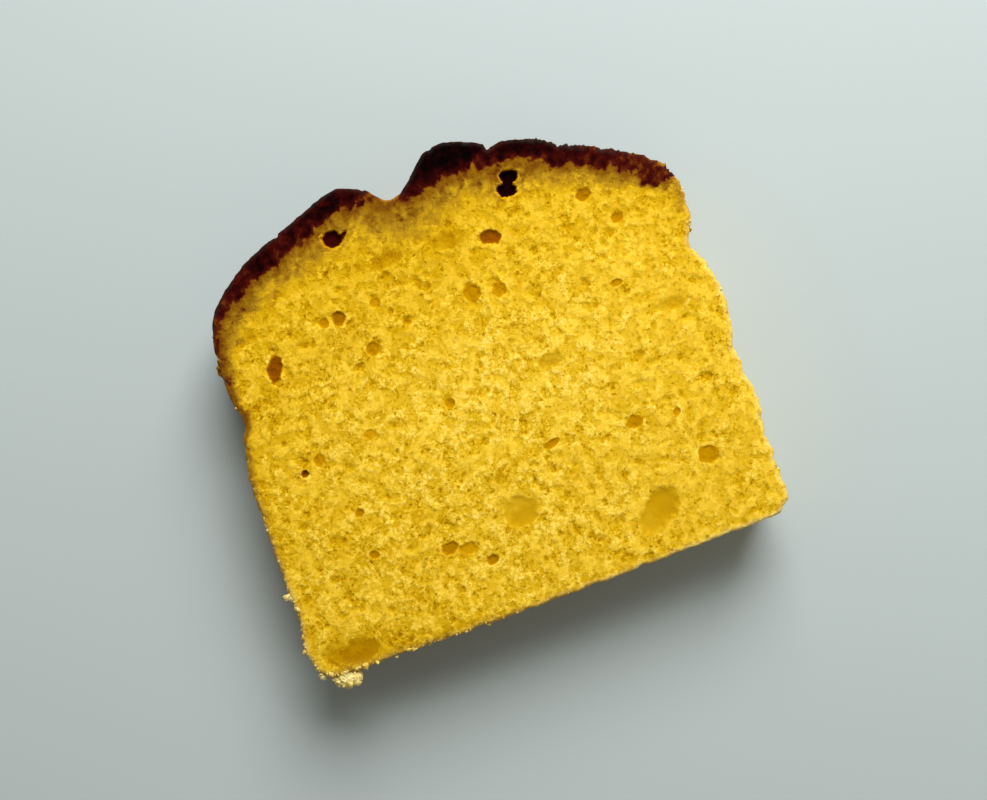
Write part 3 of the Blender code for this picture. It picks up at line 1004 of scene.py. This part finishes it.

# %% [markdown]
# ## One closed mesh
#
# Side, cut face and lower face share the points of the side's first and last rows, so the slice
# is one closed mesh, as one piece of cake should be. What the material has to know about each
# point goes along as attributes: how baked it is, how far inside a pore or on a lump it lies, how
# torn the crumb is there, how near the very edge it is, how much shade is painted inside its hole,
# how smooth and rich a patch it lies in, how pale its crumb is, with the painted highlight round
# the holes, and whether it lies on the outside of the loaf.

# %% Build the slice
points_before_face = side.shape[0] * COLUMNS
points_before_under = points_before_face + len(face_points)
last_row = points_before_face - COLUMNS


def side_faces():
    """The side's squares, wound so that they face outward."""
    for row in range(len(row_heights) - 1):
        upper, lower = row * COLUMNS, (row + 1) * COLUMNS
        for column in range(COLUMNS):
            following = (column + 1) % COLUMNS
            yield upper + following, upper + column, lower + column, lower + following


def face_corner(index, ring_start, points_start):
    """The number in the whole mesh of a triangulation's point."""
    return ring_start + index if index < COLUMNS else points_start + index - COLUMNS


def all_faces():
    """Every face of the closed mesh."""
    yield from side_faces()
    for triangle in face_triangles:
        yield tuple(face_corner(index, 0, points_before_face) for index in triangle)
    for triangle in under_triangles:
        turned = reversed(triangle)
        yield tuple(face_corner(index, last_row, points_before_under) for index in turned)


def add_measure(mesh, name, values):
    """Keeps one number for each point of a mesh, under a name that a material can read."""
    attribute = mesh.attributes.new(name, "FLOAT", "POINT")
    attribute.data.foreach_set("value", np.asarray(values, dtype=np.float32))


def in_all_points(parts):
    """Values for the whole mesh, from its side, upper and lower face; a number fills a part."""
    counts = (points_before_face, len(face_points), len(under_points))
    return np.concatenate([np.broadcast_to(part, count) for part, count in zip(parts, counts)])


slice_points = np.vstack((
    side_points,
    np.column_stack((face_points, face_height)),
    np.column_stack((under_points, np.zeros(len(under_points)))),
))
slice_mesh = bpy.data.meshes.new("cake_slice_crumb_and_crust")
slice_mesh.from_pydata((slice_points * MM).tolist(), [], list(all_faces()))
slice_mesh.shade_smooth()
# What the material reads, on the side, on the upper cut face and on the lower one.
slice_measures = {
    "baked": (side_bake, face_bake, under_bake),
    "pore": (0.0, pore_inside, 0.0),
    "lump": (0.5, lumps, 0.5),
    "torn": (0.5, torn, 0.5),
    "smooth": (0.0, smoothness, 0.0),
    "rim": (side_rim, face_rim, 0.0),
    "dark_hole": (0.0, hole_painted_shade, 0.0),
    "rich_patch": (0.0, patch_colour, 0.0),
    "outside": (1.0, 0.0, 0.0),
    "paler": (side_pale, face_pale, 0.0),
}
for measure_name, parts in slice_measures.items():
    add_measure(slice_mesh, measure_name, in_all_points(parts))
cake = bpy.data.objects.new("cake_slice_crumb_and_crust", slice_mesh)
bpy.context.collection.objects.link(cake)
slice_mesh.calc_loop_triangles()
print("slice:", len(slice_mesh.vertices), "points,", len(slice_mesh.loop_triangles), "triangles")

# %% [markdown]
# ## Crumb and crust in one material
#
# Yellow crumb keeps to one scale of tones: deep ochre in its pores, partly painted shade and partly
# where light has passed through much crumb, then lemon, then cream on the driest flakes that stand
# proud, partly their own colour and partly painted highlight. So we first work out one number for
# how pale each spot is, and one ramp turns it into a colour. The crust has a ramp of its own, from
# mustard over wine red to almost black, and so has the painted shade inside the large holes. The
# crumb's own flecks push the border of the toasted part about, so that it looks like browned crumb
# and not like a stain.
#
# The outside of the loaf is a little different from what the knife shows: the crust there is more
# brown than red, and the base and the left side wear a thin tan skin.
#
# A little light also goes in and comes out again nearby, as it does in real crumb, so the cake
# glows instead of looking like plaster.

# %% Colours of the cake
CRUMB_TONES = (
    (0.00, paint(150, 96, 2)),
    (0.20, paint(168, 116, 2)),
    (0.40, paint(192, 144, 4)),
    (0.60, paint(213, 170, 18)),
    (0.80, paint(234, 193, 49)),
    (0.92, paint(246, 209, 74)),
    (1.00, paint(249, 217, 102)),
)
BAKED_TONES = (
    (0.00, paint(216, 176, 50)),
    (0.10, paint(200, 160, 40)),
    (0.20, paint(184, 144, 33)),
    (0.30, paint(164, 123, 24)),
    (0.40, paint(142, 98, 14)),
    (0.48, paint(122, 74, 13)),
    (0.53, paint(108, 54, 13)),
    (0.58, paint(90, 34, 11)),
    (0.63, paint(76, 20, 10)),
    (0.70, paint(60, 11, 8)),
    (0.78, paint(46, 7, 6)),
    (0.88, paint(25, 4, 5)),
    (1.00, paint(9, 3, 4)),
)
# Painted shade inside the large holes, from the crumb's ochre down to almost black.
HOLE_SHADE_TONES = (
    (0.00, paint(226, 178, 28)),
    (0.10, paint(208, 156, 8)),
    (0.25, paint(192, 138, 3)),
    (0.40, paint(175, 122, 2)),
    (0.52, paint(161, 106, 3)),
    (0.66, paint(141, 78, 3)),
    (0.85, paint(64, 13, 7)),
    (1.00, paint(26, 4, 5)),
)
PATCH_COLOUR = paint(165, 116, 3)
DARK_RIM = paint(52, 50, 44)  # the very edge of the crust
PALE_CRUMB = paint(243, 224, 152)  # the very edge of the crumb, where dry crumbs cling to it
OUTER_CRUST = paint(58, 31, 19)  # the outside of the crust
SKIN = paint(198, 140, 58)  # the outside of the base and of the left side
# What is the same all over the cake. Red light goes farthest into crumb, blue the least.
SHADER_SETTINGS = {
    "Subsurface Radius": (1.0, 0.7, 0.12),
    "Subsurface Scale": 1.0 * MM,
    "Roughness": 0.8,
    "Coat Roughness": 0.42,
    "Specular IOR Level": 0.0,
}
CRUMB_GLOW = 0.45  # the share of the light that goes into the slice's crumb


def new_tree(name):
    """A new material, its shader and a wire to start sums with."""
    material = bpy.data.materials.new(name)
    material.use_nodes = True
    tree = material.node_tree
    return material, tree.nodes["Principled BSDF"], Wire(tree)


def noise_at(start, place, size, detail=2.0, roughness=0.5):
    """Noise that changes over a distance of size mm, about 0.5 on average."""
    return start.node(
        "ShaderNodeTexNoise",
        sockets={"Vector": place, "Scale": 1 / size, "Detail": detail, "Roughness": roughness},
    )


def place_in_mm(start):
    """Each point's place on the piece, in millimetres."""
    place = start.node("ShaderNodeTexCoord", output=3)
    enlarge = {"operation": "MULTIPLY"}
    return start.node("ShaderNodeVectorMath", enlarge, {0: place, 1: (1 / MM,) * 3})


def nudged(start, place, size, reach):
    """Places pushed about by noise, so that what is drawn at them gets a ragged outline."""
    colour = noise_at(start, place, size, 2.0, 0.6).other(1)
    push = start.node(
        "ShaderNodeVectorMath",
        {"operation": "MULTIPLY_ADD"},
        {0: colour, 1: (reach,) * 3, 2: (-reach / 2,) * 3},
    )
    return start.node("ShaderNodeVectorMath", {"operation": "ADD"}, {0: place, 1: push})


def measure(start, name):
    """A number that the mesh keeps for each point."""
    return start.node("ShaderNodeAttribute", {"attribute_name": name}, output=2)


def pits(start, place, spacing, largest):
    """Round pits of random sizes: how far inside one each point is, and a random number for it."""
    distance = start.node("ShaderNodeTexVoronoi", sockets={"Vector": place, "Scale": 1 / spacing})
    random = start.node("ShaderNodeSeparateColor", sockets={0: distance.other(1)})
    size = random**1.6 * (largest / spacing)
    return between(size - distance, -0.03, 0.06), random.other(1)


def ramp(value, stops):
    """The colour that a table of tones gives for a value."""
    return value.node("ShaderNodeValToRGB", {"stops": stops}, {"Fac": value})


def crumb_look(start, place):
    """Yellow crumb: how pale it is, from 0 to 1, painted darker where sunk and paler where proud, and
    its fine relief in mm.
    """
    pore, lump, torn, smooth = (measure(start, name) for name in ("pore", "lump", "torn", "smooth"))
    crinkled = nudged(start, place, 0.5, 0.6)
    fray = noise_at(start, place, 0.5, 4.0, 0.7) - 0.5
    grain = noise_at(start, place, 0.30, 2.0, 0.6) - 0.5
    broad = noise_at(start, place, 6.5, 1.0) * 0.12 + noise_at(start, place, 2.6, 1.0) * 0.16 - 0.14
    proud = between(lump + fray * 1.4, 0.46, 0.58)
    low = 1 - between(lump + fray * 0.9, 0.24, 0.40)
    chip = between(noise_at(start, crinkled, 0.62, 4.0, 0.65), 0.48, 0.54)
    speckle = noise_at(start, crinkled, 0.75, 2.0, 0.6)
    speck = (1 - between(speckle, 0.375, 0.405)) * (1 - proud * 0.55)
    # Painted shade in the pores.
    pore_shade = between(pore + fray * 0.8, 0.10, 0.24) * between(pore, 0.0, 0.08)
    fine, fine_kind = pits(start, crinkled, 0.85, 0.36)
    wavy = noise_at(start, place, 1.0, 3.0, 0.6) - 0.5
    ridge = start.node("ShaderNodeMath", {"operation": "ABSOLUTE"}, {0: wavy})
    crack = (1 - between(ridge, 0.0, 0.020)) * between(noise_at(start, place, 1.35, 1.0), 0.50, 0.60)
    # What stands proud (lumps, chips, grains) is painted paler, partly painted highlight; what is sunk
    # (pores, pits, specks, cracks, the hollow beside a lump) is painted darker, partly painted shade.
    detail = (proud - 0.5) * (0.09 + torn * 0.07) - low * 0.05
    detail = detail + (chip - 0.5) * (0.085 + torn * 0.115) + grain * (0.13 + torn * 0.26)
    detail = detail - pore_shade * (0.10 + fine_kind * 0.12) - speck * (0.20 + torn * 0.12)
    detail = detail - fine * (0.05 + fine_kind * 0.17) - crack * (0.06 + torn * 0.14)
    calm = 1 - smooth * 0.9
    height = proud * 0.06 + chip * 0.03 + grain * 0.04 - fine * 0.03 - speck * 0.04 - crack * 0.03
    return measure(start, "paler") + 0.757 + broad + detail * calm, height * calm


def cake_material(name, glow):
    """Crumb and crust; glow is how much of the light that goes in comes out again nearby."""
    material, shader, start = new_tree(name)
    place = place_in_mm(start)
    hole = measure(start, "dark_hole")
    baked = measure(start, "baked")
    tone, height = crumb_look(start, place)
    uneven = noise_at(start, nudged(start, place, 0.9, 0.8), 1.5, 3.0, 0.5) - 0.5
    ragged = uneven * between(baked, 0.45, 0.60, 0.30, 0.65)
    flecked = (tone - 0.72) * between(baked, 0.30, 0.50, 0.46, 0.27)
    baked_here = baked + between(baked, 0.03, 0.35) * (ragged - flecked)
    crusty = between(baked_here, 0.52, 0.58)
    rich = measure(start, "rich_patch")
    rim = measure(start, "rim") * between(uneven, -0.12, 0.05, 0.4)
    colour = ramp(tone - baked * 1.1 - rich * 0.30, CRUMB_TONES)
    colour = blend(rich * 0.55, colour, PATCH_COLOUR)
    colour = blend(rim * between(baked, 0.0, 0.4, 0.60, 0.25), colour, PALE_CRUMB)
    colour = blend(between(baked_here, 0.10, 0.32), colour, ramp(baked_here, BAKED_TONES))
    colour = blend(rim * crusty * 0.38, colour, DARK_RIM)
    # The large holes take their painted shade.
    colour = blend(between(hole, 0.02, 0.09), colour, ramp(hole, HOLE_SHADE_TONES))
    outer_crust = between(baked, 0.5, 0.85) * measure(start, "outside")
    skin = between(baked, 0.02, 0.26) * (1 - crusty) * measure(start, "outside")
    colour = blend(skin * 0.45, colour, SKIN)
    colour = blend(outer_crust * 0.40, colour, OUTER_CRUST)
    bump = start.node("ShaderNodeBump", sockets={"Height": height, "Distance": MM, "Strength": 1.0})
    tree = material.node_tree
    tree.links.new(colour.socket, shader.inputs["Base Color"])
    tree.links.new((outer_crust * 0.05).socket, shader.inputs["Coat Weight"])
    tree.links.new(bump.socket, shader.inputs["Normal"])
    shader.inputs["Subsurface Weight"].default_value = glow
    for setting, value in SHADER_SETTINGS.items():
        shader.inputs[setting].default_value = value
    return material


cake_finish = cake_material("lemon_crumb_and_crust", CRUMB_GLOW)
slice_mesh.materials.append(cake_finish)
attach(cake, "root")
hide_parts("cake_slice")
print("finish:", cake_finish.name, "with", len(cake_finish.node_tree.nodes), "nodes")

# %% [markdown]
# ## Crumbs
#
# A knife leaves crumbs: flat flakes that stick to the cut face, more that cling to its edge, and at
# the lower left corner a whole lump that hangs on by a neck. They could be scattered by a particle
# system, but only real meshes last outside Blender, so we copy one ball many times. Each copy is
# turned, stretched and swollen by noise of several sizes, which leaves creases between its bumps,
# because a round crumb would look like a bead. The lumps get finer bumps on a rounder mass.

# %% Make many crumbs at once
BUMPS = ((1.3, 0.52), (2.9, 0.22), (6.5, 0.05))  # how many to a crumb's width, and how high
LUMP_BUMPS = ((1.1, 0.42), (2.6, 0.18), (5.5, 0.10), (12.0, 0.05))
CRUMB_CORE = 0.58  # the radius that the bumps are added to, of the whole crumb's
CREASE_WIDTH = 0.16  # how softly two bumps meet
WIDEST_STRETCH = 1.25
CRUMB_MEASURES = {"torn": 0.3, "lump": 0.6}  # the same all over each crumb
# Light would go right through such small things, so they take the same finish without the glow.
crumb_finish = cake_material("loose_crumbs", 0.0)


def ball(subdivisions):
    """Points and triangles of a round ball of radius 1."""
    mesh = bmesh.new()
    bmesh.ops.create_icosphere(mesh, subdivisions=subdivisions, radius=1.0)
    points = np.array([vertex.co[:] for vertex in mesh.verts])
    triangles = np.array([[vertex.index for vertex in face.verts] for face in mesh.faces])
    mesh.free()
    return points, triangles


def random_turns(rng, count):
    """Random rotation matrices."""
    turns = rng.normal(size=(count, 4))
    turns /= np.linalg.norm(turns, axis=1, keepdims=True)
    w, x, y, z = turns.T
    return np.stack((
        np.stack((1 - 2 * (y * y + z * z), 2 * (x * y - w * z), 2 * (x * z + w * y)), -1),
        np.stack((2 * (x * y + w * z), 1 - 2 * (x * x + z * z), 2 * (y * z - w * x)), -1),
        np.stack((2 * (x * z - w * y), 2 * (y * z + w * x), 1 - 2 * (x * x + y * y)), -1),
    ), -2)


def crumb_piece(
    name, places, sizes, bakes, pales, subdivisions, seed, shape=(0.45, 1.0), dry=1.5, bumps=BUMPS
):
    """One piece of many crumbs, each with its place and size in mm, its bake and its paleness.

    The shape says how narrow the longest are, and how flat they all lie.
    """
    rng = np.random.default_rng(seed)
    points, triangles = ball(subdivisions)
    count = len(places)
    swollen = np.full((count, len(points)), CRUMB_CORE)
    for finer, height in bumps:
        offsets = rng.uniform(-50, 50, (count, 1, 3))
        bulge = np.hypot(wander((points * finer + offsets).reshape(-1, 3), 1.0), CREASE_WIDTH)
        swollen += height * bulge.reshape(count, -1)
    stretch = rng.uniform(shape[0], WIDEST_STRETCH, (count, 1, 3))
    shaped = points * swollen[:, :, None] * stretch
    shaped = np.einsum("nij,npj->npi", random_turns(rng, count), shaped)
    shaped *= (1.0, 1.0, shape[1])
    shaped = shaped * np.asarray(sizes)[:, None, None] + np.asarray(places)[:, None, :]
    faces = (triangles[None] + np.arange(count)[:, None, None] * len(points)).reshape(-1, 3)
    mesh = bpy.data.meshes.new(name)
    mesh.from_pydata((shaped.reshape(-1, 3) * MM).tolist(), [], faces.tolist())
    mesh.shade_smooth()
    crumb_measures = {"baked": bakes, "paler": pales, "rim": dry, **CRUMB_MEASURES}
    for measured, values in crumb_measures.items():
        add_measure(mesh, measured, np.repeat(np.broadcast_to(values, count), len(points)))
    mesh.materials.append(crumb_finish)
    piece = bpy.data.objects.new(name, mesh)
    bpy.context.collection.objects.link(piece)
    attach(piece, "root")
    print(name, "has", count, "crumbs,", len(faces), "triangles")


# %% Crumbs on the cut face
FACE_CRUMBS = 120
FACE_CRUMB_SIZES = (0.20, 0.50)
SIZE_POWER = 2.5  # how much small crumbs outnumber large ones
LEVEL_ENOUGH = 0.12  # flakes lie only where the face has sunk less than this,
OFF_THE_EDGE = 0.8  # farther than this from the edge,
NOT_SMOOTH = 0.2  # and where it is less smooth than this
FLAKE_SUNK = 0.02
FLAKE_PALES = (-0.04, 0.08)
FLAKE_SHAPE = (0.35, 0.28)  # how narrow the longest are, and how flat they all lie


def crumbs_on_face():
    rng = np.random.default_rng(71)
    level = (face_sunk < LEVEL_ENOUGH) & (face_distance > OFF_THE_EDGE) & (smoothness < NOT_SMOOTH)
    chosen = rng.choice(np.flatnonzero(level), FACE_CRUMBS, replace=False)
    low, high = FACE_CRUMB_SIZES
    sizes = low + (high - low) * rng.uniform(0, 1, FACE_CRUMBS) ** SIZE_POWER
    places = np.column_stack((face_points[chosen], face_height[chosen] - FLAKE_SUNK))
    pales = face_pale[chosen] + rng.uniform(*FLAKE_PALES, FACE_CRUMBS)
    name = "crumbs_on_the_cut_face"
    crumb_piece(name, places, sizes, face_bake[chosen], pales, 3, 72, FLAKE_SHAPE, 0.0)


crumbs_on_face()

# %% [markdown]
# The crumbs round the edge are drawn along stretches of it. Each is sunk a little into the nearest
# column of the side. They are thickest at the left end of the base and up the left side, where dry
# crumbs were rubbed loose.

# %% Crumbs round the edge
# Stretches of the edge, as loaf places: from, to, how many crumbs, smallest, largest.
CRUMBLY_EDGES = (
    ((-50.0, 1.0), (-40.0, -0.6), 70, 0.28, 0.85),
    ((-50.5, 1.0), (-50.0, 18.0), 80, 0.2, 0.70),
    ((-40.0, 0.2), (-14.0, 0.2), 100, 0.15, 0.66),
    ((-14.0, 0.2), (49.0, 0.2), 50, 0.12, 0.45),
    ((-50.0, 18.0), (-47.5, 50.0), 55, 0.15, 0.40),
    ((-48.0, 56.0), (-47.0, 70.0), 14, 0.15, 0.4),
    ((49.5, 2.0), (50.5, 68.0), 60, 0.2, 0.5),
)
EDGE_CRUMB_ROWS = 5  # how many rows down the side they cling to
EDGE_CRUMB_SUNK = 0.35  # how far into the side they sit, of their radius
EDGE_CRUMB_BAKE = (0.5, 0.10)  # of the side's bake, less the second
EDGE_CRUMB_PALES = (-0.04, 0.18)
EDGE_CRUMB_DRYNESS = (0.3, 1.3)
EDGE_CRUMB_SHAPE = (0.32, 0.9)


def crumbs_at_edge():
    rng = np.random.default_rng(81)
    ring = side[0, :, :2]
    places, sizes, nearest = [], [], []
    for start, end, count, low, high in CRUMBLY_EDGES:
        for share in rng.uniform(0, 1, count):
            target = np.array(start) * (1 - share) + np.array(end) * share + LOAF_ORIGIN
            column = int(np.argmin(((ring - target) ** 2).sum(axis=1)))
            row = int(rng.integers(0, EDGE_CRUMB_ROWS))
            sizes.append(low + (high - low) * rng.uniform() ** SIZE_POWER)
            inward = np.append(column_spokes[column], 0.0) * EDGE_CRUMB_SUNK * sizes[-1]
            places.append(side[row, column] - inward)
            nearest.append(column)
    share_kept, lost = EDGE_CRUMB_BAKE
    bakes = np.clip(side_bake[nearest] * share_kept - lost, 0.0, share_kept)
    pales = rng.uniform(*EDGE_CRUMB_PALES, len(places))
    dry = rng.uniform(*EDGE_CRUMB_DRYNESS, len(places))
    name = "crumbs_round_the_edge"
    crumb_piece(name, places, sizes, bakes, pales, 3, 82, EDGE_CRUMB_SHAPE, dry)


crumbs_at_edge()

# %% [markdown]
# The lumps that hang from the edge are the largest crumbs, so each is listed by itself, and they
# take a finer ball. The big one at the corner is built from a few that grow into each other.

# %% Lumps that hang on at the edge
# x, y, how far under the upper cut face, radius, how baked, how pale (for crumb lumps partly painted
# light).
LUMPS = (
    (-45.7, -1.5, 1.5, 1.85, 0.0, 0.20),
    (-43.9, -1.9, 1.5, 1.50, 0.0, 0.26),
    (-46.9, -1.7, 1.6, 1.25, 0.0, 0.26),
    (-45.4, -2.7, 1.7, 1.20, 0.0, 0.28),
    (-45.2, -0.1, 1.4, 1.30, 0.0, 0.08),
    (-47.8, -0.6, 1.6, 0.90, 0.0, 0.30),
    (-49.7, 1.0, 1.3, 0.90, 0.0, 0.30),
    (-49.9, 0.3, 1.5, 0.65, 0.0, 0.34),
    (-48.5, 0.7, 1.4, 0.70, 0.0, 0.30),
    (-50.5, 17.9, 1.0, 1.00, 0.0, 0.14),
    (-51.4, 18.1, 1.2, 0.65, 0.0, 0.16),
    (-49.7, 17.2, 0.9, 0.95, 0.0, 0.10),
    (-38.0, -0.2, 0.9, 0.45, 0.0, 0.28),
    (-34.5, -0.6, 0.9, 0.48, 0.0, 0.32),
    (-47.4, 66.8, 1.0, 0.90, 0.47, 0.0),
    (-47.8, 65.7, 1.1, 0.95, 0.46, 0.0),
    (-48.2, 64.7, 1.2, 0.85, 0.47, 0.0),
    (50.4, 61.1, 1.0, 0.45, 0.44, 0.0),
    (50.0, 59.7, 1.0, 0.40, 0.40, 0.0),
)
CRUST_BIT_DRYNESS = 0.5
# Crumb lumps are painted paler than dry crumb alone would be: painted light that stands in for the
# light shining through them.
CRUMB_LUMP_DRYNESS_AND_PAINTED_LIGHT = 1.5
LUMP_SHAPE = (0.75, 1.0)


def lumps_at_edge():
    x, y, under, radius, baked, pale = np.array(LUMPS).T
    places = np.column_stack((np.column_stack((x, y)) + LOAF_ORIGIN, THICKNESS - under))
    dry = np.where(baked > 0, CRUST_BIT_DRYNESS, CRUMB_LUMP_DRYNESS_AND_PAINTED_LIGHT)
    name = "lumps_at_the_edge"
    crumb_piece(name, places, radius, baked, pale, 5, 91, LUMP_SHAPE, dry, LUMP_BUMPS)


lumps_at_edge()
